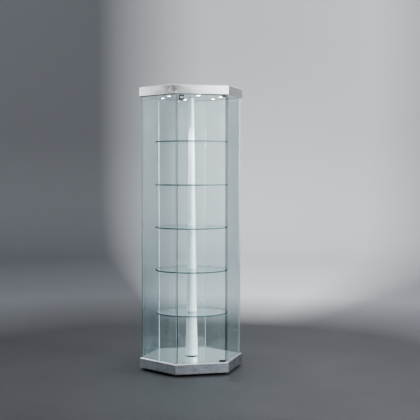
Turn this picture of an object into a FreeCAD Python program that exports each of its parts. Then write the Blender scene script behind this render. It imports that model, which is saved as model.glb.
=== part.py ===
import FreeCAD, Part
import math
import os
import Sketcher

# Hexagonal tower showcase. Millimetres, +Z up, origin on the floor under the centre.
# Two corners of the hexagon point along the X axis, the door is the side facing -Y.

os.makedirs("parts", exist_ok=True)
doc = FreeCAD.newDocument("tower_display_case")
Vector = FreeCAD.Vector

SIZES = [
    # hexagonal shell, given as apothems (centre to flat)
    ("case_apothem", 325.0),
    ("skin", 3.0),
    ("bevel", 5.0),
    ("lip_apothem", 314.0),
    ("pane_outer", 313.0),
    ("pane_thick", 6.0),
    ("deck_apothem", 305.5),
    ("frame_inner", 293.0),
    # plinth heights
    ("base_bottom", 14.0),
    ("base_top", 89.0),
    ("panel_top", 35.0),
    ("deck_bottom", 69.0),
    ("deck_top", 83.0),
    ("floor_top", 87.0),
    ("pane_bottom", 77.0),
    # cap heights
    ("cap_bottom", 1932.0),
    ("cap_top", 2000.0),
    ("ceiling_bottom", 1934.0),
    ("ceiling_top", 1950.0),
    ("pane_top", 1944.0),
    ("lid_bottom", 1993.0),
    ("lid_thick", 3.0),
    # door
    ("door_bottom", 93.0),
    ("door_top", 1929.0),
    ("door_left", -173.5),
    ("door_right", 172.5),
    ("pivot_x", 160.0),
    ("pivot_y", -310.0),
    ("pin_radius", 2.5),
    ("running_gap", 0.05),
    ("patch_grip", 4.0),
    ("patch_gasket", 1.0),
    ("lower_patch_left", 126.0),
    ("lower_patch_right", 168.0),
    ("upper_patch_left", 146.0),
    ("upper_patch_right", 171.0),
    # lock
    ("lock_x", -141.0),
    ("lock_z", 1911.5),
    ("lock_width", 32.0),
    ("lock_height", 35.0),
    ("plug_radius", 9.0),
    ("cam_reach", 30.0),
    # column and shelves
    ("column_bottom", 93.0),
    ("column_top", 1926.0),
    ("shelf_first", 402.0),
    ("shelf_pitch", 304.0),
    ("shelf_radius", 258.0),
    ("shelf_thick", 8.0),
    ("gasket_thick", 1.0),
    ("rod_radius", 6.0),
    ("tube_wall", 3.0),
    ("web_thick", 6.0),
    # bearing
    ("hub_hole_radius", 28.0),
    ("journal_radius", 10.0),
    ("ball_radius", 4.0),
    ("ball_track", 22.0),
    ("ball_height", 51.6),
    # lamps
    ("lamp_ring", 215.0),
    ("lamp_radius", 22.5),
    # feet
    ("foot_ring", 290.0),
    ("foot_radius", 20.0),
    ("stem_radius", 5.0),
]
COLUMN_RADII = [44.0, 37.0, 33.0, 29.0, 25.0, 21.5, 18.0]

sheet = doc.addObject("Spreadsheet::Sheet", "Size")
for row, (alias, value) in enumerate(SIZES, start=1):
    sheet.set("A%d" % row, alias)
    sheet.set("B%d" % row, str(value))
    sheet.setAlias("B%d" % row, alias)
for place, radius in enumerate(COLUMN_RADII):
    row = len(SIZES) + 1 + place
    sheet.set("A%d" % row, "column_radius_%d" % place)
    sheet.set("B%d" % row, str(radius))
    sheet.setAlias("B%d" % row, "column_radius_%d" % place)
doc.recompute()

nodes = []


def number(formula):
    """The value in millimetres of a formula over the sheet."""
    return float(sheet.evalExpression(str(formula)))


def bind(thing, **formulas):
    """Tie properties of an object to formulas; x, y and z stand for its position."""
    for key, formula in formulas.items():
        target = "Placement.Base." + key if key in ("x", "y", "z") else key
        thing.setExpression(target, str(formula))
    return thing


def keep(thing, label):
    """Register an object as a sub-part under its final name."""
    thing.Label = label
    nodes.append(thing)
    return thing


def primitive(kind, turn=None, **formulas):
    """A Part primitive with bound sizes; turn is an optional (axis, degrees) pair."""
    thing = doc.addObject("Part::" + kind, kind)
    if turn:
        thing.Placement = FreeCAD.Placement(Vector(), FreeCAD.Rotation(turn[0], turn[1]))
    return bind(thing, **formulas)


def block(x_from, x_to, y_from, y_to, z_from, z_to):
    """A box between pairs of formulas."""
    return primitive(
        "Box", x=x_from, y=y_from, z=z_from,
        Length="(%s) - (%s)" % (x_to, x_from),
        Width="(%s) - (%s)" % (y_to, y_from),
        Height="(%s) - (%s)" % (z_to, z_from))


def rod(radius, x, y, z_from, z_to):
    """An upright cylinder."""
    return primitive("Cylinder", x=x, y=y, z=z_from, Radius=radius,
                     Height="(%s) - (%s)" % (z_to, z_from))


def rod_inward(radius, x, z, y_from, y_to):
    """A cylinder lying along +Y."""
    return primitive("Cylinder", turn=(Vector(1, 0, 0), -90), x=x, y=y_from, z=z,
                     Radius=radius, Height="(%s) - (%s)" % (y_to, y_from))


def hexagon(apothem, z_from, z_to):
    """A hexagonal plate given by its apothem."""
    thing = primitive("Prism", z=z_from, Height="(%s) - (%s)" % (z_to, z_from),
                      Circumradius="(%s) / cos(30 deg)" % apothem)
    thing.Polygon = 6
    return thing


def cut(base, *tools):
    """The base with every tool taken away."""
    for tool in tools:
        result = doc.addObject("Part::Cut", "Cut")
        result.Base = base
        result.Tool = tool
        base = result
    return base


def fuse(*pieces):
    """One solid out of several."""
    result = doc.addObject("Part::MultiFuse", "Fuse")
    result.Shapes = list(pieces)
    return result


def turned_body(profile):
    """A body of revolution about Z from (radius, height) formulas."""
    body = doc.addObject("PartDesign::Body", "Body")
    plane = [item for item in body.Origin.OriginFeatures if item.Role == "XZ_Plane"][0]
    sketch = body.newObject("Sketcher::SketchObject", "Profile")
    sketch.AttachmentSupport = [(plane, "")]
    sketch.MapMode = "FlatFace"
    corners = [Vector(number(radius), number(height), 0) for radius, height in profile]
    count = len(corners)
    lines = []
    for place in range(count):
        edge = Part.LineSegment(corners[place], corners[(place + 1) % count])
        lines.append(sketch.addGeometry(edge, False))
    for place in range(count):
        sketch.addConstraint(
            Sketcher.Constraint("Coincident", lines[place - 1], 2, lines[place], 1))
    for place, (radius, height) in enumerate(profile):
        for kind, formula, value in (("DistanceX", radius, corners[place].x),
                                     ("DistanceY", height, corners[place].y)):
            spot = sketch.addConstraint(
                Sketcher.Constraint(kind, -1, 1, lines[place], 1, value))
            sketch.setExpression("Constraints[%d]" % spot, str(formula))
    doc.recompute()
    turn = body.newObject("PartDesign::Revolution", "Turn")
    turn.Profile = sketch
    turn.ReferenceAxis = (sketch, ["V_Axis"])
    turn.Angle = 360
    doc.recompute()
    return body


def turned_shape(profile):
    """A plain solid of revolution about Z, for pieces that come in groups."""
    corners = [Vector(number(radius), 0, number(height)) for radius, height in profile]
    outline = Part.Face(Part.makePolygon(corners + corners[:1]))
    return outline.revolve(Vector(), Vector(0, 0, 1), 360)


def mitred_bar(section, facing):
    """A straight bar along one side of the hexagon, mitred at both corners.
    The section is a list of (apothem, height); facing is the outward direction in degrees."""
    outward = Vector(math.cos(math.radians(facing)), math.sin(math.radians(facing)), 0)
    along = Vector(-outward.y, outward.x, 0)
    slope = math.tan(math.radians(30))
    ends = []
    for side in (-1, 1):
        ends.append([outward * far + along * (side * far * slope) + Vector(0, 0, height)
                     for far, height in section])
    near, distant = ends
    faces = [Part.Face(Part.makePolygon(end + end[:1])) for end in ends]
    for place in range(len(section)):
        following = (place + 1) % len(section)
        loop = [near[place], near[following], distant[following], distant[place], near[place]]
        faces.append(Part.Face(Part.makePolygon(loop)))
    solid = Part.Solid(Part.Shell(faces))
    if solid.Volume < 0:
        solid.reverse()
    return solid


def group(label, solids):
    """A sub-part made of several separate solids."""
    thing = doc.addObject("Part::Feature", label)
    thing.Shape = Part.makeCompound(solids) if len(solids) > 1 else solids[0]
    return keep(thing, label)


def spots(radius, first):
    """Six points on a circle, sixty degrees apart."""
    for step in range(6):
        angle = math.radians(first + 60 * step)
        yield Vector(number(radius) * math.cos(angle), number(radius) * math.sin(angle), 0)


def moved(shape, offset):
    """A copy of a shape, shifted."""
    copy = shape.copy()
    copy.translate(offset)
    return copy


SIDES = [-90, -30, 30, 90, 150, 210]
FIXED_SIDES = SIDES[1:]

case = number("Size.case_apothem")
skin = number("Size.skin")
bevel = number("Size.bevel")
lip = number("Size.lip_apothem")
frame_inner = number("Size.frame_inner")
pane_outer = number("Size.pane_outer")
pane_inner = number("Size.pane_outer - Size.pane_thick")
deck_bottom = number("Size.deck_bottom")
ceiling_top = number("Size.ceiling_top")


def folded_channel(bottom, top):
    """Section of the metal skin: a channel with bevelled upper and lower edges."""
    inner = case - skin
    tuck = bevel - skin * (math.sqrt(2) - 1)
    return [
        (case, bottom + bevel), (case, top - bevel), (case - bevel, top), (lip, top),
        (lip, top - skin), (inner - tuck, top - skin), (inner, top - skin - tuck),
        (inner, bottom + skin + tuck), (inner - tuck, bottom + skin), (lip, bottom + skin),
        (lip, bottom), (case - bevel, bottom)]


# ---------------------------------------------------------------- plinth

base_bottom = number("Size.base_bottom")
base_top = number("Size.base_top")
panel_top = number("Size.panel_top")
group("base_fascia", [mitred_bar(folded_channel(base_bottom, base_top), side) for side in SIDES])

base_rail = [(frame_inner, panel_top), (case - skin, panel_top), (case - skin, base_top - 7),
             (lip, base_top - 7), (lip, deck_bottom), (frame_inner, deck_bottom)]
group("base_frame", [mitred_bar(base_rail, side) for side in SIDES])

insert_holes = [rod("8", spot.x, spot.y, "Size.base_bottom", "Size.panel_top + 5")
                for spot in spots("Size.foot_ring", 0)]
keep(cut(hexagon("Size.case_apothem - 7", "Size.base_bottom + Size.skin", "Size.panel_top"),
         *insert_holes), "bottom_panel")

keep(cut(hexagon("Size.deck_apothem", "Size.deck_bottom", "Size.deck_top"),
         rod("Size.hub_hole_radius", 0, 0, "Size.deck_bottom - 5", "Size.deck_top + 5")),
     "deck_panel")
keep(cut(hexagon("Size.deck_apothem - 0.5", "Size.deck_top", "Size.floor_top"),
         rod("Size.hub_hole_radius", 0, 0, "Size.deck_top - 5", "Size.floor_top + 5")),
     "mirror_floor")

setting_blocks = []
for side in FIXED_SIDES:
    for shift in (-115, 115):
        pad = Part.makeBox(number("Size.pane_thick"), 60,
                           number("Size.pane_bottom - Size.deck_bottom"),
                           Vector(pane_inner, shift - 30, deck_bottom))
        pad.rotate(Vector(), Vector(0, 0, 1), side)
        setting_blocks.append(pad)
group("setting_blocks", setting_blocks)

insert = turned_shape([
    ("Size.stem_radius + Size.running_gap", "Size.base_bottom + Size.skin"),
    ("8", "Size.base_bottom + Size.skin"), ("8", "Size.panel_top"), ("12", "Size.panel_top"),
    ("12", "Size.panel_top + 2"), ("Size.stem_radius + Size.running_gap", "Size.panel_top + 2")])
group("foot_inserts", [moved(insert, spot) for spot in spots("Size.foot_ring", 0)])

keep(cut(
    block(-175.5, 175.5, "-Size.lip_apothem", "-Size.deck_apothem",
          "Size.deck_bottom", "Size.base_top"),
    rod("Size.pin_radius + 1", "Size.pivot_x", "Size.pivot_y",
        "Size.base_top - 10", "Size.base_top + 5")), "door_threshold")

# The cup under the deck carries the ball track of the turning column.
housing = turned_body([
    ("Size.journal_radius + Size.running_gap", "40"), ("40", "40"), ("40", "61"), ("55", "61"),
    ("55", "Size.deck_bottom"), ("33", "Size.deck_bottom"), ("33", "48"),
    ("Size.journal_radius + Size.running_gap", "48")])
lower_track = primitive("Torus", z="Size.ball_height", Radius1="Size.ball_track",
                        Radius2="Size.ball_radius + Size.running_gap")
keep(cut(housing, lower_track), "bearing_housing")

for step, spot in enumerate(spots("Size.foot_ring", 0), start=1):
    foot = turned_body([
        ("0", "0"), ("Size.foot_radius - 2", "0"), ("Size.foot_radius", "2"),
        ("Size.foot_radius", "5"), ("Size.foot_radius - 7", "8"), ("9", "8"),
        ("9", "Size.base_bottom + Size.skin - 0.3"),
        ("Size.stem_radius", "Size.base_bottom + Size.skin - 0.3"),
        ("Size.stem_radius", "60"), ("0", "60")])
    foot.Placement = FreeCAD.Placement(spot, FreeCAD.Rotation())
    keep(foot, "levelling_foot_%d" % step)

keep(block(-137, -114, -304.2, -287, "Size.floor_top", "Size.floor_top + 14"), "catch_magnet")

# ---------------------------------------------------------------- glass sides

pane = [(pane_inner, number("Size.pane_bottom")), (pane_outer, number("Size.pane_bottom")),
        (pane_outer, number("Size.pane_top")), (pane_inner, number("Size.pane_top"))]
group("fixed_panes", [mitred_bar(pane, side) for side in FIXED_SIDES])

strip = [(pane_inner, number("Size.pane_top")), (pane_outer, number("Size.pane_top")),
         (pane_outer, ceiling_top), (pane_inner, ceiling_top)]
group("glazing_strips", [mitred_bar(strip, side) for side in FIXED_SIDES])

# The seal follows the mitred edge of the left pane, 1.5 mm thick.
slope = math.tan(math.radians(30))
reach = 1.5 / math.cos(math.radians(30))
seal_corners = [Vector(-pane_inner * slope, -pane_inner, 90),
                Vector(-pane_outer * slope, -pane_outer, 90),
                Vector(-pane_outer * slope + reach, -pane_outer, 90),
                Vector(-pane_inner * slope + reach, -pane_inner, 90)]
seal_face = Part.Face(Part.makePolygon(seal_corners + seal_corners[:1]))
group("door_seal", [seal_face.extrude(Vector(0, 0, number("Size.cap_bottom - 91")))])

# ---------------------------------------------------------------- cap

cap_bottom = number("Size.cap_bottom")
cap_top = number("Size.cap_top")
group("cap_fascia", [mitred_bar(folded_channel(cap_bottom, cap_top), side) for side in SIDES])

lid_bottom = number("Size.lid_bottom")
cap_rail = [(frame_inner, ceiling_top), (lip, ceiling_top), (lip, cap_bottom + 7),
            (case - skin, cap_bottom + 7), (case - skin, lid_bottom), (frame_inner, lid_bottom)]
screw_shank = turned_shape([("0", "Size.lid_bottom - 18"), ("2", "Size.lid_bottom - 18"),
                            ("2", "Size.lid_bottom"), ("0", "Size.lid_bottom")])
screw_spots = list(spots(303, -90))
group("cap_frame", [mitred_bar(cap_rail, side).cut(moved(screw_shank, spot))
                    for side, spot in zip(SIDES, screw_spots)])

lamp_holes = [rod("Size.lamp_radius", spot.x, spot.y, "Size.ceiling_bottom - 5",
                  "Size.ceiling_top + 5") for spot in spots("Size.lamp_ring", -90)]
keep(cut(hexagon("Size.deck_apothem", "Size.ceiling_bottom", "Size.ceiling_top"),
         rod("14", 0, 0, "Size.ceiling_bottom - 5", "Size.ceiling_top + 5"),
         block("Size.lock_x - 10", "Size.lock_x + 24", -299.5, -290,
               "Size.ceiling_bottom - 5", "Size.ceiling_bottom + 11"),
         *lamp_holes), "ceiling_panel")

keep(cut(
    block(-175.5, 175.5, "-Size.lip_apothem", "-Size.deck_apothem",
          "Size.cap_bottom", "Size.ceiling_top"),
    rod("Size.pin_radius + 1", "Size.pivot_x", "Size.pivot_y",
        "Size.cap_bottom - 5", "Size.cap_bottom + 10")), "door_header")

bush_bore = "Size.pin_radius + Size.running_gap"
lower_bush = turned_shape([
    (bush_bore, "Size.base_top - 10"), ("Size.pin_radius + 1", "Size.base_top - 10"),
    ("Size.pin_radius + 1", "Size.base_top"), ("4.5", "Size.base_top"),
    ("4.5", "Size.base_top + 1.95"), (bush_bore, "Size.base_top + 1.95")])
upper_bush = turned_shape([
    (bush_bore, "Size.cap_bottom - 1.95"), ("4.5", "Size.cap_bottom - 1.95"),
    ("4.5", "Size.cap_bottom"), ("Size.pin_radius + 1", "Size.cap_bottom"),
    ("Size.pin_radius + 1", "Size.cap_bottom + 10"), (bush_bore, "Size.cap_bottom + 10")])
pivot = Vector(number("Size.pivot_x"), number("Size.pivot_y"), 0)
group("pivot_bushes", [moved(lower_bush, pivot), moved(upper_bush, pivot)])

grommet_y = 250
lid_holes = [rod(2.2, spot.x, spot.y, "Size.lid_bottom - 5", "Size.lid_bottom + 10")
             for spot in screw_spots]
keep(cut(hexagon("Size.lip_apothem - 0.5", "Size.lid_bottom", "Size.lid_bottom + Size.lid_thick"),
         rod(8, 0, grommet_y, "Size.lid_bottom - 5", "Size.lid_bottom + 10"), *lid_holes),
     "top_lid")

screw = turned_shape([
    ("0", "Size.lid_bottom - 18"), ("2", "Size.lid_bottom - 18"),
    ("2", "Size.lid_bottom + Size.lid_thick"), ("4.5", "Size.lid_bottom + Size.lid_thick"),
    ("3.5", "Size.lid_bottom + Size.lid_thick + 2.2"),
    ("0", "Size.lid_bottom + Size.lid_thick + 2.2")])
group("lid_screws", [moved(screw, spot) for spot in screw_spots])

grommet = turned_body([
    ("4", "Size.lid_bottom - 2"), ("10", "Size.lid_bottom - 2"), ("10", "Size.lid_bottom"),
    ("8", "Size.lid_bottom"), ("8", "Size.lid_bottom + Size.lid_thick"),
    ("10", "Size.lid_bottom + Size.lid_thick"), ("9", "Size.lid_bottom + Size.lid_thick + 2.5"),
    ("4", "Size.lid_bottom + Size.lid_thick + 2.5")])
grommet.Placement = FreeCAD.Placement(Vector(0, grommet_y, 0), FreeCAD.Rotation())
keep(grommet, "cable_grommet")

bezel = turned_shape([
    ("22", "Size.ceiling_bottom - 2.5"), ("27", "Size.ceiling_bottom - 2.5"),
    ("28", "Size.ceiling_bottom - 1.5"), ("28", "Size.ceiling_bottom"),
    ("Size.lamp_radius", "Size.ceiling_bottom"),
    ("Size.lamp_radius", "Size.ceiling_bottom + 6"), ("20", "Size.ceiling_bottom + 6"),
    ("20", "Size.ceiling_bottom + 2")])
can = turned_shape([
    ("0", "Size.ceiling_bottom + 36"), ("20", "Size.ceiling_bottom + 36"),
    ("20", "Size.ceiling_bottom + 6"), ("Size.lamp_radius", "Size.ceiling_bottom + 6"),
    ("Size.lamp_radius", "Size.ceiling_bottom + 38"), ("0", "Size.ceiling_bottom + 38")])
# The lens is a shallow dome on a short rim, standing a little proud of its bezel.
lens_radius = 20
lens_rise = 6
lens_foot = number("Size.ceiling_bottom - 4")
dome_radius = (lens_radius ** 2 + lens_rise ** 2) / (2 * lens_rise)
dome = Part.makeSphere(dome_radius, Vector(0, 0, lens_foot + dome_radius)).common(
    Part.makeCylinder(lens_radius, lens_rise, Vector(0, 0, lens_foot)))
lens = dome.fuse(Part.makeCylinder(
    lens_radius, 4, Vector(0, 0, lens_foot + lens_rise))).removeSplitter()
lamp_spots = list(spots("Size.lamp_ring", -90))
group("spot_bezels", [moved(bezel, spot) for spot in lamp_spots])
group("spot_housings", [moved(can, spot) for spot in lamp_spots])
group("spot_lenses", [moved(lens, spot) for spot in lamp_spots])

keep(block(-75, 75, 75, 125, "Size.ceiling_top", "Size.ceiling_top + 28"), "led_driver")

# One loom: a ring lying on the ceiling panel, a branch to every lamp and one to the driver.
cable = 2.5
loom_ring = 160
loom = primitive("Torus", z="Size.ceiling_top + %s" % cable, Radius1=loom_ring, Radius2=cable)
branches = []
for spot in lamp_spots:
    branch = primitive("Cylinder", Radius=cable, z="Size.ceiling_top + %s" % cable,
                       Height="Size.lamp_ring - Size.lamp_radius - %s" % loom_ring)
    inner_end = spot * (loom_ring / spot.Length)
    aim = FreeCAD.Rotation(Vector(0, 0, 1), spot)
    height = number("Size.ceiling_top + %s" % cable)
    branch.Placement = FreeCAD.Placement(inner_end + Vector(0, 0, height), aim)
    branches.append(branch)
branches.append(rod_inward(cable, 0, "Size.ceiling_top + %s" % cable, 125, loom_ring))
keep(fuse(loom, *branches), "lamp_wiring")

keep(turned_body([
    ("Size.journal_radius + Size.running_gap", "Size.ceiling_bottom - 3"),
    ("20", "Size.ceiling_bottom - 3"), ("20", "Size.ceiling_bottom"),
    ("14", "Size.ceiling_bottom"), ("14", "Size.ceiling_top"),
    ("Size.journal_radius + Size.running_gap", "Size.ceiling_top")]), "column_top_bush")

# ---------------------------------------------------------------- door

glass_front = "-Size.pane_outer"
glass_back = "-Size.pane_outer + Size.pane_thick"
lower_notch = block("Size.lower_patch_left - 1", "Size.lower_patch_right + 1.5", -330, -300,
                    "Size.door_bottom - 10", "Size.door_bottom + 4")
upper_notch = block("Size.upper_patch_left - 1", "Size.door_right + 5", -330, -300,
                    "Size.door_top - 4", "Size.door_top + 10")
keep(cut(block("Size.door_left", "Size.door_right", glass_front, glass_back,
               "Size.door_bottom", "Size.door_top"),
         lower_notch, upper_notch,
         rod_inward("Size.plug_radius + 2.2", "Size.lock_x", "Size.lock_z", -330, -300)),
     "door_glass")

grip_front = "-Size.pane_outer - Size.patch_gasket - Size.patch_grip"
grip_back = "-Size.pane_outer + Size.pane_thick + Size.patch_gasket + Size.patch_grip"
slot_front = "-Size.pane_outer - Size.patch_gasket"
slot_back = "-Size.pane_outer + Size.pane_thick + Size.patch_gasket"
SCREWS_LOW = (137, 157)
SCREWS_HIGH = (152, 165)
screw_low_z = "Size.door_bottom + 7.2"
screw_high_z = "Size.door_top - 7.2"


def patch(left, right, bottom, top, slot_bottom, slot_top, pin_from, pin_to, screws, screw_z):
    """A U-shaped glass clamp with its pivot pin and its threaded holes."""
    clamp = cut(block(left, right, grip_front, grip_back, bottom, top),
                block(number(left) - 5, number(right) + 5, slot_front, slot_back,
                      slot_bottom, slot_top))
    holes = [rod_inward(2, place, screw_z, slot_back + " - 0.5", grip_back + " + 5")
             for place in screws]
    pin = rod("Size.pin_radius", "Size.pivot_x", "Size.pivot_y", pin_from, pin_to)
    return fuse(cut(clamp, *holes), pin)


keep(patch("Size.lower_patch_left", "Size.lower_patch_right",
           "Size.door_bottom - 2", "Size.door_bottom + 10",
           "Size.door_bottom + 3.5", "Size.door_bottom + 15",
           "Size.base_top - 8", "Size.door_bottom + 1", SCREWS_LOW, screw_low_z), "lower_patch")
keep(patch("Size.upper_patch_left", "Size.upper_patch_right",
           "Size.door_top - 10.5", "Size.door_top + 1",
           "Size.door_top - 15", "Size.door_top - 3.5",
           "Size.door_top - 1", "Size.cap_bottom + 9", SCREWS_HIGH, screw_high_z), "upper_patch")

gasket_blocks = []
for left, right, bottom, top in (
        ("Size.lower_patch_left", "Size.lower_patch_right",
         "Size.door_bottom + 4", "Size.door_bottom + 10"),
        ("Size.upper_patch_left", "Size.upper_patch_right",
         "Size.door_top - 10.5", "Size.door_top - 4")):
    for start in (slot_front, glass_back):
        gasket_blocks.append(Part.makeBox(
            number("%s - %s" % (right, left)), number("Size.patch_gasket"),
            number("(%s) - (%s)" % (top, bottom)),
            Vector(number(left), number(start), number(bottom))))
group("patch_gaskets", gasket_blocks)

grub_screws = []
for places, height in ((SCREWS_LOW, screw_low_z), (SCREWS_HIGH, screw_high_z)):
    for place in places:
        start = Vector(place, number(slot_back), number(height))
        stud = Part.makeCylinder(2, 4.5, start, Vector(0, 1, 0))
        socket = Part.makeCylinder(1, 2, start + Vector(0, 3, 0), Vector(0, 1, 0))
        grub_screws.append(stud.cut(socket))
group("patch_screws", grub_screws)

# Lock: a square housing outside, a sleeve through the glass and a plate inside.
lock_left = "Size.lock_x - Size.lock_width / 2"
lock_right = "Size.lock_x + Size.lock_width / 2"
lock_low = "Size.lock_z - Size.lock_height / 2"
lock_high = "Size.lock_z + Size.lock_height / 2"
lock_front = "-Size.pane_outer - 8"
lock_back = "-Size.pane_outer + Size.pane_thick + 7"
keep(cut(
    fuse(block(lock_left, lock_right, lock_front, glass_front, lock_low, lock_high),
         rod_inward("Size.plug_radius + 1.8", "Size.lock_x", "Size.lock_z",
                    glass_front, lock_back)),
    rod_inward("Size.plug_radius + Size.running_gap", "Size.lock_x", "Size.lock_z", -330, -290)),
    "lock_housing")
keep(cut(
    block(lock_left, lock_right, glass_back, lock_back, lock_low, lock_high),
    rod_inward("Size.plug_radius + 1.8", "Size.lock_x", "Size.lock_z", -330, -290)),
    "lock_back_plate")

cam_front = "-Size.pane_outer + Size.pane_thick + 10"
plug = fuse(
    rod_inward("Size.plug_radius", "Size.lock_x", "Size.lock_z", lock_front + " - 1", cam_front),
    rod_inward("5", "Size.lock_x", "Size.lock_z", cam_front, cam_front + " + 3"))
keyway = block("Size.lock_x - 0.7", "Size.lock_x + 0.7", lock_front + " - 5",
               lock_front + " + 4", "Size.lock_z - 4", "Size.lock_z + 4")
keep(cut(plug, keyway), "lock_plug")
keep(cut(
    fuse(block("Size.lock_x", "Size.lock_x + Size.cam_reach", cam_front, cam_front + " + 3",
               "Size.lock_z - 7", "Size.lock_z + 7"),
         rod_inward("8", "Size.lock_x", "Size.lock_z", cam_front, cam_front + " + 3")),
    rod_inward("5", "Size.lock_x", "Size.lock_z", -330, -290)), "lock_cam")
keep(rod_inward("6.5", "Size.lock_x", "Size.lock_z", cam_front + " + 3", cam_front + " + 5.5"),
     "cam_screw")

clip_plate = 2.5
clip_front = "-Size.pane_outer - %s" % clip_plate
clip_back = "-Size.pane_outer + Size.pane_thick + %s" % clip_plate
keep(fuse(
    block(-171, -139, clip_front, glass_front, "Size.door_bottom - 2", "Size.door_bottom + 10"),
    block(-171, -139, clip_front, clip_back, "Size.door_bottom - 2", "Size.door_bottom"),
    block(-171, -112, glass_back, clip_back, "Size.door_bottom - 2", "Size.door_bottom + 10")),
    "catch_clip")

# ---------------------------------------------------------------- turning column

flange_bottom = "Size.ball_height + Size.ball_radius - 0.6"
spindle = turned_body([
    ("0", "38"), ("Size.journal_radius", "38"), ("Size.journal_radius", flange_bottom),
    ("31", flange_bottom), ("31", "61"), ("25", "61"), ("25", "Size.column_bottom"),
    ("Size.rod_radius", "Size.column_bottom"), ("Size.rod_radius", "64"), ("0", "64")])
upper_track = primitive("Torus", z="Size.ball_height", Radius1="Size.ball_track",
                        Radius2="Size.ball_radius")
keep(cut(spindle, upper_track), "spindle")

ball_count = 14
track = number("Size.ball_track")
balls = []
for step in range(ball_count):
    angle = 2 * math.pi * step / ball_count
    centre = Vector(track * math.cos(angle), track * math.sin(angle), number("Size.ball_height"))
    balls.append(Part.makeSphere(number("Size.ball_radius"), centre))
group("bearing_balls", balls)

shelf_count = 5
half_stack = "(Size.shelf_thick / 2 + Size.gasket_thick)"
shelf_level = ["(Size.shelf_first + %d * Size.shelf_pitch)" % step for step in range(shelf_count)]
tube_ends = ["Size.column_bottom"]
for level in shelf_level:
    tube_ends += ["(%s - %s)" % (level, half_stack), "(%s + %s)" % (level, half_stack)]
tube_ends.append("Size.column_top")
for step in range(shelf_count + 1):
    low, high = tube_ends[2 * step], tube_ends[2 * step + 1]
    wide, narrow = "Size.column_radius_%d" % step, "Size.column_radius_%d" % (step + 1)
    bore = "(Size.rod_radius + 0.25)"
    keep(turned_body([
        (bore, low), (wide, low), (narrow, high), (bore, high),
        (bore, high + " - Size.web_thick"),
        (narrow + " - Size.tube_wall", high + " - Size.web_thick"),
        (wide + " - Size.tube_wall", low + " + Size.web_thick"),
        (bore, low + " + Size.web_thick")]), "column_segment_%d" % (step + 1))

gasket_solids = []
for step, level in enumerate(shelf_level):
    low = "%s - Size.shelf_thick / 2" % level
    high = "%s + Size.shelf_thick / 2" % level
    keep(turned_body([
        ("8", low), ("Size.shelf_radius - 1", low), ("Size.shelf_radius", low + " + 1"),
        ("Size.shelf_radius", high + " - 1"), ("Size.shelf_radius - 1", high), ("8", high)]),
        "shelf_%d" % (step + 1))
    bore = "Size.rod_radius"
    edge = "Size.column_radius_%d - 2" % (step + 1)
    gasket_solids.append(turned_shape([
        (bore, low + " - Size.gasket_thick"), (edge, low + " - Size.gasket_thick"),
        (edge, low), ("8", low), ("8", level), (bore, level)]))
    gasket_solids.append(turned_shape([
        (bore, high + " + Size.gasket_thick"), (edge, high + " + Size.gasket_thick"),
        (edge, high), ("8", high), ("8", level), (bore, level)]))
group("shelf_gaskets", gasket_solids)

keep(rod("Size.rod_radius", 0, 0, "64", "Size.column_top + 12"), "tie_rod")
keep(turned_body([
    ("Size.rod_radius", "Size.column_top"), ("16", "Size.column_top"),
    ("16", "Size.column_top + 3"), ("Size.journal_radius", "Size.column_top + 3"),
    ("Size.journal_radius", "Size.ceiling_top - 3"), ("0", "Size.ceiling_top - 3"),
    ("0", "Size.column_top + 12"), ("Size.rod_radius", "Size.column_top + 12")]), "top_spigot")

# ---------------------------------------------------------------- checks and export

doc.recompute()
for item in doc.Objects:
    if "Invalid" in item.State or "Error" in item.State:
        raise RuntimeError("%s is %s" % (item.Label, item.State))
for item in nodes:
    if item.Shape.isNull() or not item.Shape.isValid() or not item.Shape.Solids:
        raise RuntimeError("bad shape in " + item.Label)
for item in nodes:
    item.Shape.exportStep("parts/%s.step" % item.Label)
    box = item.Shape.BoundBox
    print("%-18s %2d  x %8.2f %8.2f  y %8.2f %8.2f  z %8.2f %8.2f" % (
        item.Label, len(item.Shape.Solids), box.XMin, box.XMax, box.YMin, box.YMax,
        box.ZMin, box.ZMax))
print(len(nodes), "sub-parts")
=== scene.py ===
import math

import bmesh
import bpy
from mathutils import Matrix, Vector


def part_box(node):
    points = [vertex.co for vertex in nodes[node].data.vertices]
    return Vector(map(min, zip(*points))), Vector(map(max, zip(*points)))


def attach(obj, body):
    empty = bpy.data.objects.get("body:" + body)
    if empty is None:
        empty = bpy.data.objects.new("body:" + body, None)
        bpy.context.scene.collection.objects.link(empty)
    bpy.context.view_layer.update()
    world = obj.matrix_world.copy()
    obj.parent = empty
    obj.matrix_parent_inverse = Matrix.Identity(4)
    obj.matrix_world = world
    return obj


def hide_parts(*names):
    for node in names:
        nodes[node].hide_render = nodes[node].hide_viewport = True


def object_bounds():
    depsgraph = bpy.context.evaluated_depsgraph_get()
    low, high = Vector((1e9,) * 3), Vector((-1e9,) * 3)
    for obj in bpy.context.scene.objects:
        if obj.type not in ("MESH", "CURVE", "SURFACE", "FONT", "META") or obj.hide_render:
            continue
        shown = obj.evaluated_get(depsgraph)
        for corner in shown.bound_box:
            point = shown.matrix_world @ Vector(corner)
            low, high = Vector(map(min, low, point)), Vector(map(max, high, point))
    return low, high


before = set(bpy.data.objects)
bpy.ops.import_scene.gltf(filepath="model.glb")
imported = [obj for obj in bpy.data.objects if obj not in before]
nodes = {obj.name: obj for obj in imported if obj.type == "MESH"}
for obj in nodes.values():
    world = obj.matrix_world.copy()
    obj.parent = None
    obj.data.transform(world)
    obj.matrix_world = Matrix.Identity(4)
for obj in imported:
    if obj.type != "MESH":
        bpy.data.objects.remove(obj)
CAD_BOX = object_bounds()
scene = bpy.context.scene

HEAD_ON = 0.04          # share of light that one face of glass mirrors head on
BONDED_MIRROR = 0.55    # share of light that a bonded corner's rim mirrors
DOORSIDE = -0.25        # the glass edges in front of this are not bonded to another pane
TAN_30 = math.tan(math.radians(30))     # half a hexagon's side over its apothem


# ---------------------------------------------------------------- node helpers

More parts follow.
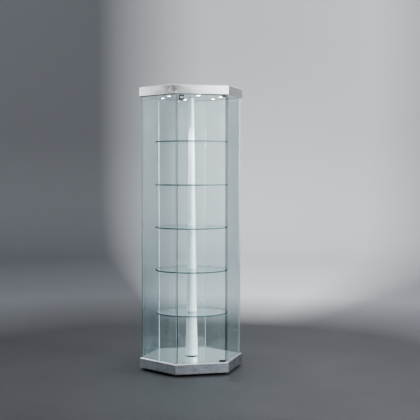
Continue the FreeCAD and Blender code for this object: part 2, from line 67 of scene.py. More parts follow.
class Look:
    """A node material under construction: one Principled shader plus procedural detail."""

    def __init__(self, name, **sockets):
        self.material = bpy.data.materials.new(name)
        self.material.use_nodes = True
        self.tree = self.material.node_tree
        self.tree.nodes.clear()
        self.out = self.add("ShaderNodeOutputMaterial")
        self.shader = self.add("ShaderNodeBsdfPrincipled")
        for socket, value in sockets.items():
            self.shader.inputs[socket.replace("_", " ")].default_value = value
        self.join(self.shader, self.out)
        self.coords = self.add("ShaderNodeTexCoord").outputs["Object"]

    def add(self, kind, **values):
        node = self.tree.nodes.new(kind)
        for key, value in values.items():
            setattr(node, key, value)
        return node

    def join(self, source, node, key=0):
        socket = source.outputs[0] if hasattr(source, "outputs") else source
        self.tree.links.new(socket, node.inputs[key])
        return node

    def stretched(self, scale):
        """Object coordinates, scaled per axis (a big number packs the pattern tightly)."""
        mapping = self.add("ShaderNodeMapping")
        mapping.inputs["Scale"].default_value = scale
        return self.join(self.coords, mapping, "Vector")

    def noise(self, scale, detail=3.0, rough=0.5, stretch=(1, 1, 1), distortion=0.0):
        node = self.add("ShaderNodeTexNoise")
        node.inputs["Scale"].default_value = scale
        node.inputs["Detail"].default_value = detail
        node.inputs["Roughness"].default_value = rough
        node.inputs["Distortion"].default_value = distortion
        self.join(self.stretched(stretch), node, "Vector")
        return node.outputs["Fac"]

    def flat(self, vector):
        """The same vector with no height."""
        level = self.add("ShaderNodeVectorMath", operation="MULTIPLY")
        level.inputs[1].default_value = (1, 1, 0)
        return self.join(vector, level, 0)

    def span(self, value, low, high, start=0.3, stop=0.7):
        """Map a 0 to 1 value onto a range of numbers."""
        node = self.add("ShaderNodeMapRange")
        for key, number in zip((1, 2, 3, 4), (start, stop, low, high)):
            node.inputs[key].default_value = number
        return self.join(value, node, 0).outputs[0]

    def ramp(self, value, *stops):
        """Map a value onto colours, each stop a (place, colour) pair."""
        node = self.add("ShaderNodeValToRGB")
        marks = node.color_ramp.elements
        while len(marks) < len(stops):
            marks.new(0.5)
        for mark, (place, colour) in zip(marks, stops):
            mark.position = place
            mark.color = (*colour, 1)
        return self.join(value, node, 0).outputs["Color"]

    def sums(self, first, second, operation="ADD"):
        node = self.add("ShaderNodeMath", operation=operation)
        for key, item in enumerate((first, second)):
            if isinstance(item, (int, float)):
                node.inputs[key].default_value = item
            else:
                self.join(item, node, key)
        return node.outputs[0]

    def bump(self, height, strength, distance, shaders=None):
        node = self.add("ShaderNodeBump")
        node.inputs["Strength"].default_value = strength
        node.inputs["Distance"].default_value = distance
        self.join(height, node, "Height")
        for shader in shaders or [self.shader]:
            self.join(node, shader, "Normal")
        return node


def mixed(colour, other, share):
    return tuple(a + (b - a) * share for a, b in zip(colour, other))


def metal(name, colour, rough, streak=(6, 6, 900), grain=0.10, wear=0.05, full=1.0, relief=0.12):
    """Brushed or satin metal: fine streaks, soft blotches in gloss, faint handling marks."""
    look = Look(name, Metallic=full)
    streaks = look.noise(1.0, 5.0, 0.6, streak)
    blotch = look.noise(7.0, 4.0, 0.6)
    marks = look.noise(38.0, 6.0, 0.7, (1, 1, 0.35), 0.4)
    tone = look.sums(look.span(streaks, -grain, grain), look.span(blotch, -wear, wear))
    shade = look.sums(tone, 0.5)
    look.join(look.ramp(shade, (0.25, mixed(colour, (0, 0, 0), 0.28)), (0.5, colour),
                        (0.75, mixed(colour, (1, 1, 1), 0.25))), look.shader, "Base Color")
    gloss = look.sums(look.span(streaks, rough * 0.82, rough * 1.18),
                      look.span(blotch, -rough * 0.18, rough * 0.25))
    look.join(look.sums(gloss, look.span(marks, 0.0, rough * 0.35, 0.55, 0.75)),
              look.shader, "Roughness")
    look.bump(streaks, relief, 0.0002)
    return look.material


def silvered(name, colour, rough, mottle):
    """Silvered sheet: soft patches that differ in gloss, fine streaks, a slightly uneven face, and a
    painted highlight on the bevels and lips.
    """
    look = Look(name, Metallic=1.0)
    patches = look.noise(20.0, 3.0, 0.45, (1, 1, 1.6), 0.3)
    creases = look.noise(90.0, 4.0, 0.6, (1, 1, 0.4), 0.5)
    streaks = look.noise(1.0, 4.0, 0.6, (12, 12, 800))
    tone = look.sums(look.span(patches, -0.11, 0.10), look.span(creases, -0.03, 0.03))
    shade = look.sums(look.sums(tone, look.span(streaks, -0.05, 0.05)), 0.5)
    sheet = look.ramp(shade, (0.15, mixed(colour, (0, 0, 0), 0.34)), (0.5, colour),
                      (0.85, mixed(colour, (1, 1, 1), 0.30)))
    # painted highlight: the bevels and lips, which don't stand upright, are painted one fixed grey
    # for the line of light they catch
    normal = look.add("ShaderNodeTexCoord").outputs["Normal"]
    rise = look.join(normal, look.add("ShaderNodeSeparateXYZ")).outputs["Z"]
    lip_highlight_mask = look.span(look.sums(rise, 0.0, "ABSOLUTE"), 0.0, 1.0, 0.25, 0.45)
    bright = look.add("ShaderNodeMix", data_type="RGBA")
    bright.inputs["B"].default_value = (0.66, 0.67, 0.68, 1)
    look.join(lip_highlight_mask, bright, "Factor")
    look.join(sheet, bright, "A")
    look.join(bright.outputs["Result"], look.shader, "Base Color")
    gloss = look.sums(look.span(patches, rough * (1 - mottle), rough * (1 + mottle)),
                      look.span(creases, -rough * 0.03, rough * 0.04))
    look.join(gloss, look.shader, "Roughness")
    look.bump(look.noise(9.0, 1.0, 0.3), 0.02, 0.003)
    return look.material


def moulded(name, colour, rough, grain_scale=900.0, strength=0.25, spread=0.12, metallic=0.0):
    """Plastic, rubber, cast or plated surface with fine grain and uneven gloss."""
    look = Look(name, Metallic=metallic)
    grain = look.noise(grain_scale, 2.0, 0.5)
    blotch = look.noise(14.0, 5.0, 0.6)
    lighter, darker = mixed(colour, (1, 1, 1), spread), mixed(colour, (0, 0, 0), spread * 2)
    look.join(look.ramp(blotch, (0.25, darker), (0.5, colour), (0.8, lighter)),
              look.shader, "Base Color")
    look.join(look.sums(look.span(blotch, rough * 0.8, min(1.0, rough * 1.2)),
                        look.span(grain, -0.04, 0.04)), look.shader, "Roughness")
    look.bump(grain, strength, 0.0003)
    return look.material


def board(name, light, dark, grain=(3, 40, 40), rough=0.55, bump=0.3):
    """Wood or fibreboard with lengthwise grain, pores and dull finish."""
    look = Look(name)
    rings = look.noise(2.2, 6.0, 0.62, grain, 0.8)
    pores = look.noise(3.0, 3.0, 0.7, tuple(4 * g for g in grain))
    look.join(look.ramp(rings, (0.28, dark), (0.5, mixed(light, dark, 0.35)), (0.72, light)),
              look.shader, "Base Color")
    look.join(look.span(pores, rough * 0.85, min(1.0, rough * 1.2)), look.shader, "Roughness")
    look.bump(look.sums(rings, pores), bump, 0.0006)
    return look.material


def clear_glass(name, tint, edge, edge_mirror, band, upright):
    """Float glass: tinted see-through faces that mirror more at a slant, and dense green edges."""
    look = Look(name, Roughness=0.08, Specular_IOR_Level=0.12)
    look.shader.inputs["Base Color"].default_value = (*edge, 1)
    slant = look.add("ShaderNodeLayerWeight")
    slant.inputs["Blend"].default_value = 0.35
    through = look.add("ShaderNodeBsdfTransparent")
    face = look.ramp(slant.outputs["Facing"], (0.0, tint), (0.6, mixed(tint, edge, 0.03)),
                     (1.0, mixed(tint, edge, 0.12)))
    look.join(face, through, "Color")
    shine = look.add("ShaderNodeBsdfGlossy")
    shine.inputs["Color"].default_value = (0.96, 0.99, 1.0, 1)
    smear = look.noise(9.0, 6.0, 0.65, (1, 1, 0.5), 0.6)
    look.join(look.span(smear, 0.008, 0.045), shine, "Roughness")
    # Schlick's curve on the slant, because a pane mirrors the same from either side
    glance = look.add("ShaderNodeLayerWeight")
    glance.inputs["Blend"].default_value = 0.5
    rise = look.sums(glance.outputs["Facing"], 5.0, "POWER")
    pane = look.add("ShaderNodeMixShader")
    look.join(look.sums(look.sums(rise, 1 - HEAD_ON, "MULTIPLY"), HEAD_ON), pane, 0)
    look.join(through, pane, 1)
    look.join(shine, pane, 2)
    # a trace of dust and wiping marks, strongest in blotches
    dust = look.add("ShaderNodeBsdfDiffuse")
    dust.inputs["Color"].default_value = (0.80, 0.86, 0.86, 1)
    dusty = look.add("ShaderNodeMixShader")
    look.join(look.span(smear, 0.004, 0.028, 0.35, 0.75), dusty, 0)
    look.join(pane, dusty, 1)
    look.join(dust, dusty, 2)
    # polished edge: a dark sea-green body that mirrors part of the room
    rim_through = look.add("ShaderNodeBsdfTransparent")
    rim_through.inputs["Color"].default_value = (*mixed(edge, (1, 1, 1), 0.06), 1)
    rim_body = look.add("ShaderNodeMixShader")
    grain = look.noise(160.0, 3.0, 0.5, (1, 1, 0.2))
    look.join(look.span(grain, 0.84, 0.97), rim_body, 0)
    look.join(rim_through, rim_body, 1)
    look.join(look.shader, rim_body, 2)
    rim_shine = look.add("ShaderNodeBsdfGlossy")
    rim_shine.inputs["Color"].default_value = (*mixed(edge, (1, 1, 1), 0.72), 1)
    look.join(look.span(grain, 0.08, 0.20), rim_shine, "Roughness")
    rim = look.add("ShaderNodeMixShader")
    rim.inputs[0].default_value = edge_mirror
    look.join(rim_body, rim, 1)
    look.join(rim_shine, rim, 2)
    # a face looks out from the middle of the case, and a rim looks along it
    outward = look.join(look.flat(look.coords),
                        look.add("ShaderNodeVectorMath", operation="NORMALIZE"))
    normal = look.add("ShaderNodeTexCoord").outputs["Normal"]
    if upright:
        facing = look.add("ShaderNodeVectorMath", operation="DOT_PRODUCT")
        look.join(outward, facing, 0)
        look.join(normal, facing, 1)
        alignment = facing.outputs["Value"]
    else:
        alignment = look.join(normal, look.add("ShaderNodeSeparateXYZ")).outputs["Z"]
    aligned = look.sums(alignment, 0.0, "ABSOLUTE")
    mask = look.sums(aligned, 0.62, "LESS_THAN")
    # through the last millimetres of a face shows the dark polished edge, but the
    # corners away from the door are bonded, paler, and mirror more
    if upright:
        place = look.join(look.coords, look.add("ShaderNodeSeparateXYZ"))
        doorside = look.sums(place.outputs["Y"], DOORSIDE, "LESS_THAN")
        near = look.sums(look.sums(aligned, band, "LESS_THAN"), doorside, "MULTIPLY")
        mask = look.sums(mask, look.span(doorside, 0.6, 1.0, 0, 1), "MULTIPLY")
        look.join(look.span(doorside, BONDED_MIRROR, edge_mirror, 0, 1), rim, 0)
    else:
        reach = look.add("ShaderNodeVectorMath", operation="LENGTH")
        look.join(look.flat(look.coords), reach)
        near = look.sums(reach.outputs["Value"], band, "GREATER_THAN")
    deep = look.add("ShaderNodeBsdfTransparent")
    deep.inputs["Color"].default_value = (*mixed(edge, (1, 1, 1), 0.16), 1)
    edged = look.add("ShaderNodeMixShader")
    look.join(look.sums(near, 0.9, "MULTIPLY"), edged, 0)
    look.join(dusty, edged, 1)
    look.join(deep, edged, 2)
    whole = look.add("ShaderNodeMixShader")
    look.join(mask, whole, 0)
    look.join(edged, whole, 1)
    look.join(rim, whole, 2)
    look.join(whole, look.out)
    ripple = look.noise(3.0, 1.0, 0.4)
    look.bump(ripple, 0.04, 0.002, [shine])
    return look.material


def lit_lens(name, colour, strength):
    """Frosted lamp lens that glows evenly, with a fine ripple."""
    look = Look(name, Roughness=0.35)
    ripple = look.noise(420.0, 2.0, 0.5)
    look.join(look.ramp(ripple, (0.3, mixed(colour, (0, 0, 0), 0.08)), (0.7, colour)),
              look.shader, "Base Color")
    look.shader.inputs["Emission Color"].default_value = (*colour, 1)
    look.shader.inputs["Emission Strength"].default_value = strength
    look.join(look.span(ripple, 0.3, 0.5), look.shader, "Roughness")
    look.bump(ripple, 0.4, 0.0006)
    return look.material


def mirror(name):
    """Silvered glass with faint smears in tone and gloss."""
    look = Look(name, Metallic=1.0)
    smear = look.noise(6.0, 7.0, 0.65, (1, 1, 1), 0.7)
    look.join(look.ramp(smear, (0.3, (0.72, 0.78, 0.78)), (0.7, (0.80, 0.85, 0.85))),
              look.shader, "Base Color")
    look.join(look.span(smear, 0.012, 0.06, 0.4, 0.75), look.shader, "Roughness")
    look.bump(look.noise(2.0, 1.0, 0.4), 0.03, 0.002)
    return look.material


# ---------------------------------------------------------------- materials for the CAD nodes

SEA_GREEN = (0.012, 0.085, 0.085)


def edge_band(node, width):
    """How squarely a pane's face looks out from the middle, a given width from its upright edge."""
    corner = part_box(node)[1]
    reach = -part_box("door_glass")[0].y
    half = corner.x if node == "door_glass" else reach * TAN_30
    return reach / math.hypot(reach, half - width)


fascia_metal = silvered("fascia_metal", (0.74, 0.75, 0.775), 0.17, 0.35)
# painted reflection: the plinth is the cap fascia's silvered finish, painted darker and bluer for
# the dark floor it mirrors
plinth_metal_painted_dark = silvered("plinth_metal_painted_dark", (0.60, 0.64, 0.70), 0.28, 0.06)
trim_metal = metal("trim_metal", (0.70, 0.71, 0.73), 0.30, (60, 500, 500), 0.08, 0.05)
lid_metal = metal("lid_metal", (0.66, 0.67, 0.69), 0.36, (6, 500, 200), 0.12, 0.07)
column_metal = metal("column_metal", (0.95, 0.96, 0.965), 0.27, (260, 260, 3), 0.04, 0.02,
                     full=0.15, relief=0.03)
plug_nickel = metal("plug_nickel", (0.40, 0.41, 0.44), 0.28, (300, 300, 300), 0.06, 0.05)
chrome = metal("chrome", (0.82, 0.83, 0.85), 0.09, (300, 300, 300), 0.03, 0.03)
plain_steel = metal("plain_steel", (0.52, 0.53, 0.55), 0.33, (400, 400, 60), 0.12, 0.10)
bearing_steel = metal("bearing_steel", (0.60, 0.60, 0.61), 0.16, (90, 90, 90), 0.05, 0.05)
bronze = metal("bronze", (0.60, 0.42, 0.22), 0.35, (300, 300, 300), 0.10, 0.12)
lamp_alu = metal("lamp_alu", (0.60, 0.61, 0.63), 0.40, (200, 200, 20), 0.10, 0.08)
magnet_plate = metal("magnet_plate", (0.74, 0.75, 0.77), 0.18, (200, 60, 200), 0.08, 0.05)
ceiling_silver = metal("ceiling_silver", (0.80, 0.81, 0.83), 0.42, (40, 4, 40), 0.05, 0.04)
black_plate = moulded("black_plate", (0.035, 0.036, 0.040), 0.34, 700.0, 0.15, 0.05, 0.6)
hub_black = moulded("hub_black", (0.03, 0.03, 0.034), 0.42, 500.0, 0.15, 0.05, 0.4)
rubber = moulded("rubber", (0.028, 0.028, 0.030), 0.78, 650.0, 0.5, 0.05)
silicone = moulded("silicone", (0.40, 0.43, 0.44), 0.45, 300.0, 0.15, 0.08)
bond_clear = moulded("bond_clear", (0.60, 0.68, 0.68), 0.14, 240.0, 0.06, 0.04)
# the seal shows as a dark sea-green line at the edge of the door opening
clear_seal = moulded("clear_seal", (0.17, 0.24, 0.24), 0.22, 260.0, 0.08, 0.08)
foot_plastic = moulded("foot_plastic", (0.040, 0.040, 0.043), 0.48, 800.0, 0.4, 0.06)
driver_white = moulded("driver_white", (0.78, 0.78, 0.76), 0.45, 600.0, 0.3, 0.05)
cable_black = moulded("cable_black", (0.04, 0.04, 0.04), 0.55, 500.0, 0.4, 0.05)
acetal = moulded("acetal", (0.50, 0.51, 0.52), 0.38, 400.0, 0.15, 0.05)
softwood = board("softwood", (0.66, 0.49, 0.30), (0.42, 0.27, 0.14), (14, 14, 90))
plywood = board("plywood", (0.68, 0.54, 0.37), (0.47, 0.33, 0.19), (3, 34, 34))
fibreboard = board("fibreboard", (0.42, 0.33, 0.24), (0.33, 0.25, 0.18), (90, 90, 90), 0.75)
PANE_TINT = (0.925, 0.965, 0.968)
shelf_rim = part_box("shelf_1")[1].x
PANE_EDGE_MIRROR = 0.03
pane_glass = clear_glass("pane_glass", PANE_TINT, SEA_GREEN, PANE_EDGE_MIRROR,
                         edge_band("fixed_panes", 0.0016), True)
door_glass = clear_glass("door_glass", PANE_TINT, SEA_GREEN, PANE_EDGE_MIRROR,
                         edge_band("door_glass", 0.0012), True)
shelf_glass = clear_glass("shelf_glass", (0.935, 0.975, 0.975), SEA_GREEN, 0.02,
                          shelf_rim - 0.004, False)
lens_glow = lit_lens("lens_glow", (1.0, 0.98, 0.95), 14.0)

SEGMENTS = ["column_segment_%d" % step for step in range(1, 7)]
SHELVES = ["shelf_%d" % step for step in range(1, 6)]
FEET = ["levelling_foot_%d" % step for step in range(1, 7)]
DRESS = {
    fascia_metal: ["cap_fascia"],
    plinth_metal_painted_dark: ["base_fascia"],
    trim_metal: ["door_threshold", "door_header"],
    lid_metal: ["top_lid"],
    column_metal: SEGMENTS,
    chrome: ["spot_bezels"],
    plug_nickel: ["lock_plug"],
    plain_steel: ["foot_inserts", "lock_cam", "cam_screw", "patch_screws",
                  "tie_rod", "top_spigot", "bearing_housing"],
    bearing_steel: ["bearing_balls"],
    bronze: ["pivot_bushes"],
    lamp_alu: ["spot_housings"],
    magnet_plate: ["catch_magnet"],
    ceiling_silver: ["ceiling_panel", "catch_clip"],
    black_plate: ["lower_patch", "upper_patch", "lock_housing", "lock_back_plate"],
    hub_black: ["spindle"],
    rubber: ["setting_blocks", "patch_gaskets", "shelf_gaskets", "cable_grommet"],
    silicone: ["glazing_strips"],
    clear_seal: ["door_seal"],
    foot_plastic: FEET,
    driver_white: ["led_driver"],
    cable_black: ["lamp_wiring"],
    acetal: ["column_top_bush"],
    softwood: ["base_frame", "cap_frame"],
    plywood: ["bottom_panel"],
    fibreboard: ["deck_panel"],
    pane_glass: ["fixed_panes"],
    door_glass: ["door_glass"],
    shelf_glass: SHELVES,
    mirror("floor_mirror"): ["mirror_floor"],
}
for material, names in DRESS.items():
    for name in names:
        slots = nodes[name].data.materials
        for place in range(max(1, len(slots))):
            if place < len(slots):
                slots[place] = material
            else:
                slots.append(material)

# Machined and folded edges are eased, so that they catch the light.
EASED = {
    "base_fascia": 0.0009, "cap_fascia": 0.0009, "door_threshold": 0.0006,
    "door_header": 0.0006, "lower_patch": 0.0008, "upper_patch": 0.0008,
    "lock_housing": 0.0012, "lock_back_plate": 0.0010, "catch_clip": 0.0005,
    "catch_magnet": 0.0008, "top_lid": 0.0005, "led_driver": 0.0015, "lock_cam": 0.0003,
    "fixed_panes": 0.0008, "door_glass": 0.0008,
}
for name, width in EASED.items():
    weld = nodes[name].modifiers.new("Join", "WELD")
    weld.merge_threshold = 0.00001
    ease = nodes[name].modifiers.new("Ease", "BEVEL")
    ease.width = width
    ease.segments = 2
    ease.limit_method = "ANGLE"
    ease.angle_limit = math.radians(28)
    ease.harden_normals = True


# ---------------------------------------------------------------- detail pieces

def finish_mesh(name, form, material, body, smooth_below=35):
    """Turn a bmesh into a piece that rides on a body, smooth where its faces nearly agree."""
    bmesh.ops.remove_doubles(form, verts=form.verts, dist=1e-6)
    bmesh.ops.recalc_face_normals(form, faces=form.faces)
    limit = math.radians(smooth_below)
    for face in form.faces:
        face.smooth = True
    for edge in form.edges:
        edge.smooth = len(edge.link_faces) == 2 and edge.calc_face_angle(0.0) < limit
    mesh = bpy.data.meshes.new(name)
    form.to_mesh(mesh)
    form.free()
    mesh.materials.append(material)
    piece = bpy.data.objects.new(name, mesh)
    scene.collection.objects.link(piece)
    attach(piece, body)
    return piece


def band(form, first, last):
    """A ring of faces between two loops of the same number of vertices."""
    for place in range(len(first)):
        following = (place + 1) % len(first)
        form.faces.new((first[place], first[following], last[following], last[place]))


def prism(form, near, distant):
    """A closed solid between two loops of the same number of points."""
    first = [form.verts.new(point) for point in near]
    last = [form.verts.new(point) for point in distant]
    form.faces.new(first[::-1])
    form.faces.new(last)
    band(form, first, last)


def lathe(form, profile, centre, steps=48):
    """A closed solid of revolution about an upright axis, from (radius, height) points."""
    rings = []
    for radius, height in profile:
        if radius == 0:
            rings.append([form.verts.new((centre.x, centre.y, height))])
            continue
        rings.append([form.verts.new((centre.x + radius * math.cos(math.tau * step / steps),
                                      centre.y + radius * math.sin(math.tau * step / steps),
                                      height)) for step in range(steps)])
    for lower, upper in zip(rings, rings[1:]):
        for step in range(steps):
            following = (step + 1) % steps
            corners = [lower[step % len(lower)], lower[following % len(lower)],
                       upper[following % len(upper)], upper[step % len(upper)]]
            form.faces.new(list(dict.fromkeys(corners)))


SIDES = [math.radians(60 * step - 90) for step in range(6)]
FIXED_SIDES = SIDES[1:]
glass_front = -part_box("door_glass")[0].y
glass_back = -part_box("door_glass")[1].y
deck_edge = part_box("deck_panel")[1].y
base_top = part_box("base_fascia")[1].z
cap_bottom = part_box("cap_fascia")[0].z
floor_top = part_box("mirror_floor")[1].z
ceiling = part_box("ceiling_panel")[0].z
LENS_RADIUS = 0.020
LENS_RIM = 0.004        # upright edge of a lens, above its dome
LAMP_RING = -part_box("spot_lenses")[0].y - LENS_RADIUS
LENS_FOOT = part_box("spot_lenses")[0].z
HEAD_RADIUS = 0.0045    # of a lid screw
SHANK_RADIUS = 0.002


def side_strip(form, section, side):
    """A straight mitred strip along one side, from (apothem, height) points."""
    outward = Vector((math.cos(side), math.sin(side), 0))
    along = Vector((-outward.y, outward.x, 0))
    ends = []
    for way in (-1, 1):
        ends.append([outward * far + along * way * (far * TAN_30) + Vector((0, 0, height))
                     for far, height in section])
    prism(form, *ends)


def bead_section(inner, outer, low, high, swell):
    """A sealant joint between two faces, with a slightly rounded or hollow free side."""
    middle = (inner + outer) / 2
    return [(inner, low), (outer, low), (outer, high), (middle, high + swell), (inner, high)]


def glazing_beads():
    """Sealant where the fixed panes enter the plinth and the cap, inside and outside."""
    nip = 0.0001
    lip = glass_front + 0.001
    joints = {
        "outer_plinth_bead": bead_section(glass_front + nip, lip - nip, base_top - 0.002,
                                          base_top + 0.0004, 0.0005),
        "inner_plinth_bead": bead_section(deck_edge + nip, glass_back - nip, floor_top - 0.003,
                                          floor_top + 0.0005, -0.0003),
        "outer_cap_bead": bead_section(glass_front + nip, lip - nip, cap_bottom + 0.002,
                                       cap_bottom - 0.0004, -0.0005),
        "inner_cap_bead": bead_section(deck_edge + nip, glass_back - nip, ceiling + 0.003,
                                       ceiling - 0.0005, 0.0003),
    }
    for name, section in joints.items():
        form = bmesh.new()
        for side in FIXED_SIDES:
            side_strip(form, section, side)
        finish_mesh(name, form, silicone, "case")


def corner_bonds():
    """Clear adhesive fillets inside the four bonded glass corners."""
    leg, hollow = 0.0030, 0.0009
    low, high = floor_top + 0.001, ceiling - 0.001
    for step in range(4):
        turn = math.radians(60 * step)
        inward = Vector((-math.cos(turn), -math.sin(turn), 0))
        across = Vector((-inward.y, inward.x, 0))
        corner = inward * -(glass_back / math.cos(math.radians(30)) - 0.0002)
        legs = [corner + (inward * math.cos(math.radians(60)) + across * way
                          * math.sin(math.radians(60))) * leg for way in (1, -1)]
        face = [legs[0]]
        for part in (0.25, 0.5, 0.75):
            point = legs[0].lerp(legs[1], part)
            face.append(point - inward * hollow * 4 * part * (1 - part))
        outline = [corner] + face + [legs[1]]
        form = bmesh.new()
        prism(form, [point + Vector((0, 0, low)) for point in outline],
              [point + Vector((0, 0, high)) for point in outline])
        finish_mesh("corner_bond_%d" % (step + 1), form, bond_clear, "case")


def lock_band():
    """A bright plate across the lock housing, cut out round the plug."""
    low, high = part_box("lock_housing")
    plug_low, plug_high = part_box("lock_plug")
    centre = (plug_low + plug_high) / 2
    bore = (plug_high.x - plug_low.x) / 2 + 0.0006
    half_tall, half_wide = 0.0052, (high.x - low.x) / 2 - 0.0014
    front = low.y - 0.0007
    sweep = math.asin(half_tall / bore)
    form = bmesh.new()
    for way in (-1, 1):
        outline = [(way * half_wide, -half_tall), (way * half_wide, half_tall)]
        for step in range(9):
            bend = sweep * (1 - 2 * step / 8)
            outline.append((way * bore * math.cos(bend), bore * math.sin(bend)))
        loops = [[Vector((centre.x + x, y, centre.z + z)) for x, z in outline]
                 for y in (front, low.y + 0.0001)]
        prism(form, *loops)
    plate = finish_mesh("lock_band", form, chrome, "door")
    ease = plate.modifiers.new("Ease", "BEVEL")
    ease.width, ease.segments = 0.0002, 2


def lamp_lenses():
    """Pressed lenses with fine rings, in place of the plain ones."""
    low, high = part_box("spot_lenses")
    reach = LENS_RADIUS
    rise = high.z - low.z - LENS_RIM
    dome = (reach ** 2 + rise ** 2) / (2 * rise)
    profile = [(0.0, low.z)]
    for step in range(1, 25):
        radius = reach * step / 24
        ridge = 0.0004 if step % 3 == 0 and step < 24 else 0.0
        profile.append((radius, low.z + dome - math.sqrt(dome ** 2 - radius ** 2) + ridge))
    profile += [(reach, high.z), (0.0, high.z)]
    for step, side in enumerate(SIDES):
        form = bmesh.new()
        centre = Vector((LAMP_RING * math.cos(side), LAMP_RING * math.sin(side), 0))
        lathe(form, profile, centre)
        piece = finish_mesh("lamp_lens_%d" % (step + 1), form, lens_glow, "case")
        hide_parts("spot_lenses")


def cross_screws():
    """Lid screws with a cross recess, in place of the plain ones."""
    low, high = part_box("lid_screws")
    head_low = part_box("top_lid")[1].z
    ring = -low.y - HEAD_RADIUS
    arm, reach, floor, steps = 0.0006, 0.0026, high.z - 0.0012, 24
    for step, side in enumerate(SIDES):
        centre = Vector((ring * math.cos(side), ring * math.sin(side), 0))
        form = bmesh.new()
        cross = []
        for quarter in range(4):
            start = math.radians(90) * quarter
            out = Vector((math.cos(start), math.sin(start), 0))
            left = Vector((-out.y, out.x, 0))
            cross += [out * reach - left * arm, out * reach + left * arm, (out + left) * arm]
        top = [form.verts.new(centre + point + Vector((0, 0, high.z))) for point in cross]
        bed = [form.verts.new(centre + point + Vector((0, 0, floor))) for point in cross]
        band(form, top, bed)
        form.faces.new(bed)
        rings = []
        for radius, height in ((0.0035, high.z), (0.0040, high.z - 0.0006),
                               (HEAD_RADIUS, head_low + 0.0004), (HEAD_RADIUS, head_low),
                               (SHANK_RADIUS, head_low), (SHANK_RADIUS, low.z)):
            turns = [math.tau * turn / steps for turn in range(steps)]
            rings.append([form.verts.new(centre + Vector((radius * math.cos(turn),
                                                          radius * math.sin(turn), height)))
                          for turn in turns])
        for upper, lower in zip(rings, rings[1:]):
            band(form, upper, lower)
        form.faces.new(rings[-1])
        # the flat top between its rim and the recess
        edges = []
        for loop in (top, rings[0]):
            edges += [form.edges.get(pair) for pair in zip(loop, loop[1:] + loop[:1])]
        bmesh.ops.triangle_fill(form, use_beauty=True, edges=edges)
        for face in [face for face in form.faces
                     if all(vert in top for vert in face.verts) and abs(face.normal.z) > 0.9]:
            form.faces.remove(face)
        piece = finish_mesh("lid_screw_%d" % (step + 1), form, plain_steel, "case")
        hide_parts("lid_screws")


glazing_beads()
corner_bonds()
lock_band()
lamp_lenses()
cross_screws()


# ---------------------------------------------------------------- stage, light and camera

STAGE_FLAT = 9.0       # radius of the level floor
STAGE_SWEEP = 2.0      # radius of the curve from floor to wall
STAGE_TOP = 7.0
DARK_FLOOR = 2.0       # radius of the dark middle of the floor
AIM_HEIGHT = 1.1       # where the soft boxes point
FADE_WIDTH = 2.2       # over which the floor takes on the wall's grey
SOFTNESS = 0.7         # how fast a soft box fades towards its edges
LAMP_WATTS = 13.0
FILL_WATTS = 210
FILL_PLACE = (3.4, -2.8, 1.3)
FILL_AXIS = (3.4, -2.8, 0.5)            # from the column towards the light
EYE = (-1.607, -7.027, 1.425)
FOCAL_LENGTH = 86.5    # mm
PITCH = 2.325          # degrees that the camera looks down
HEADING = -13.93       # degrees that the camera turns from straight back
# greys round the wall, by turn from -X through -Y, +X and +Y, brightest in one band
WALL_GREYS = (
    (0.00, (0.17, 0.175, 0.19)), (0.20, (0.24, 0.245, 0.26)), (0.36, (0.30, 0.30, 0.31)),
    (0.52, (0.20, 0.205, 0.22)), (0.60, (0.22, 0.22, 0.24)), (0.635, (0.28, 0.28, 0.30)),
    (0.667, (0.78, 0.78, 0.80)), (0.712, (0.80, 0.80, 0.82)), (0.738, (0.13, 0.135, 0.145)),
    (1.00, (0.17, 0.175, 0.19)),
)
# name, direction in degrees, distance, height, (width, length), radiance
SOFT_BOXES = (
    ("key", -56, 5.4, 2.0, (4.6, 3.8), 4.2),
    ("right_fill", -14, 5.4, 1.9, (3.0, 3.6), 2.8),
    ("front_left", -138, 5.4, 1.8, (2.4, 3.4), 1.5),
    ("left_fill", 149, 4.8, 1.9, (2.6, 3.6), 2.6),
    ("back_rim", 56, 5.6, 3.2, (3.2, 2.6), 0.9),
)


def stage_material():
    """A dark grey floor round the case, and a wall whose grey changes with direction."""
    look = Look("stage_floor", Roughness=0.6)
    place = look.join(look.coords, look.add("ShaderNodeSeparateXYZ"))
    turn = look.sums(place.outputs["Y"], place.outputs["X"], "ARCTAN2")
    share = look.sums(look.sums(turn, math.tau, "DIVIDE"), 0.5)
    wall = look.ramp(share, *WALL_GREYS)
    cloud = look.noise(1.5, 5.0, 0.6)
    level = look.ramp(cloud, (0.3, (0.024, 0.025, 0.028)), (0.7, (0.035, 0.036, 0.040)))
    reach = look.add("ShaderNodeVectorMath", operation="LENGTH")
    look.join(look.flat(look.coords), reach)
    blend = look.add("ShaderNodeMix", data_type="RGBA")
    look.join(look.span(reach.outputs["Value"], 0.0, 1.0, DARK_FLOOR, DARK_FLOOR + FADE_WIDTH),
              blend, 0)
    look.join(level, blend, "A")
    look.join(wall, blend, "B")
    look.join(blend.outputs["Result"], look.shader, "Base Color")
    look.bump(look.noise(300.0, 2.0, 0.5), 0.05, 0.0005)
    return look.material


def stage_floor():
    """A round floor that sweeps up into a wall, wider than any view's distance."""
    form = bmesh.new()
    line = [(0.0, 0.0), (STAGE_FLAT, 0.0)]
    for step in range(1, 9):
        bend = math.radians(90) * step / 8
        line.append((STAGE_FLAT + STAGE_SWEEP * math.sin(bend),
                     STAGE_SWEEP * (1 - math.cos(bend))))
    line.append((STAGE_FLAT + STAGE_SWEEP, STAGE_TOP))
    points = [form.verts.new((reach, 0, height)) for reach, height in line]
    edges = [form.edges.new(pair) for pair in zip(points, points[1:])]
    bmesh.ops.spin(form, geom=points + edges, axis=(0, 0, 1), cent=(0, 0, 0),
                   angle=math.tau, steps=96, use_merge=True)
    bmesh.ops.remove_doubles(form, verts=form.verts, dist=1e-5)
    bmesh.ops.recalc_face_normals(form, faces=form.faces)
    for face in form.faces:
        face.smooth = True
    mesh = bpy.data.meshes.new("stage_floor")
    form.to_mesh(mesh)
    form.free()
    floor = bpy.data.objects.new("stage_floor", mesh)
    floor.location.z = CAD_BOX[0].z
    mesh.materials.append(stage_material())
    scene.collection.objects.link(floor)


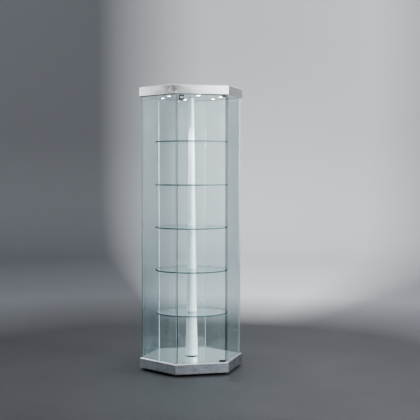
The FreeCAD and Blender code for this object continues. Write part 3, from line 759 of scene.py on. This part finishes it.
def glow_material(radiance):
    """A sheet that glows in its middle and is clear at its edges."""
    look = Look("soft_box_glow")
    place = look.join(look.add("ShaderNodeTexCoord").outputs["Generated"],
                      look.add("ShaderNodeSeparateXYZ"))
    share = 1.0
    for axis in ("X", "Y"):
        across = place.outputs[axis]
        hump = look.sums(look.sums(across, look.sums(1.0, across, "SUBTRACT"), "MULTIPLY"),
                         4.0, "MULTIPLY")
        share = look.sums(look.sums(hump, SOFTNESS, "POWER"), share, "MULTIPLY")
    emission = look.add("ShaderNodeEmission")
    emission.inputs["Strength"].default_value = radiance
    fading = look.add("ShaderNodeMixShader")
    look.join(share, fading, 0)
    look.join(look.add("ShaderNodeBsdfTransparent"), fading, 1)
    look.join(emission, fading, 2)
    look.join(fading, look.out)
    return look.material


def soft_box(name, azimuth, distance, height, size, radiance):
    """A studio soft box aimed at the case, hidden from the camera but not from reflections."""
    turn = math.radians(azimuth)
    place = Vector((distance * math.cos(turn), distance * math.sin(turn), height))
    form = bmesh.new()
    form.faces.new([form.verts.new((x * size[0] / 2, y * size[1] / 2, 0))
                    for x, y in [(-1, -1), (1, -1), (1, 1), (-1, 1)]])
    mesh = bpy.data.meshes.new(name)
    form.to_mesh(mesh)
    form.free()
    mesh.materials.append(glow_material(radiance))
    panel = bpy.data.objects.new(name, mesh)
    panel.location = place
    panel.rotation_euler = (Vector((0, 0, AIM_HEIGHT)) - place).to_track_quat("Z", "Y").to_euler()
    panel.visible_camera = False
    scene.collection.objects.link(panel)


def case_lamp(name, turn):
    """The light of one ceiling lamp, just under its lens."""
    lamp = bpy.data.lights.new(name, "SPOT")
    lamp.energy = LAMP_WATTS
    lamp.color = (1.0, 0.98, 0.95)
    lamp.spot_size = math.radians(95)
    lamp.spot_blend = 0.8
    lamp.shadow_soft_size = 0.015
    holder = bpy.data.objects.new(name, lamp)
    holder.location = (LAMP_RING * math.cos(turn), LAMP_RING * math.sin(turn), LENS_FOOT - 0.002)
    scene.collection.objects.link(holder)


stage_floor()
for row in SOFT_BOXES:
    soft_box(*row)
# brightens the column, and shows in no reflection
column_fill = bpy.data.lights.new("column_fill", "AREA")
column_fill.energy = FILL_WATTS
column_fill.size = 1.6
fill_holder = bpy.data.objects.new("column_fill", column_fill)
fill_holder.location = FILL_PLACE
fill_holder.rotation_euler = Vector(FILL_AXIS).to_track_quat("Z", "Y").to_euler()
fill_holder.visible_glossy = False
fill_holder.visible_camera = False
scene.collection.objects.link(fill_holder)
for step, side in enumerate(SIDES):
    case_lamp("case_lamp_%d" % (step + 1), side)

world = bpy.data.worlds.new("studio")
world.use_nodes = True
world.node_tree.nodes["Background"].inputs["Color"].default_value = (0.93, 0.96, 1.0, 1)
world.node_tree.nodes["Background"].inputs["Strength"].default_value = 0.9
scene.world = world
scene.view_settings.view_transform = "AgX"
scene.view_settings.look = "AgX - Medium High Contrast"
scene.view_settings.exposure = 0.5
scene.cycles.transparent_max_bounces = 48
scene.cycles.max_bounces = 10

lens = bpy.data.cameras.new("view")
lens.sensor_width = 36.0
lens.lens = FOCAL_LENGTH
lens.clip_end = 100.0
camera = bpy.data.objects.new("view", lens)
camera.location = EYE
camera.rotation_euler = (math.radians(90 - PITCH), 0, math.radians(HEADING))
scene.collection.objects.link(camera)
scene.camera = camera
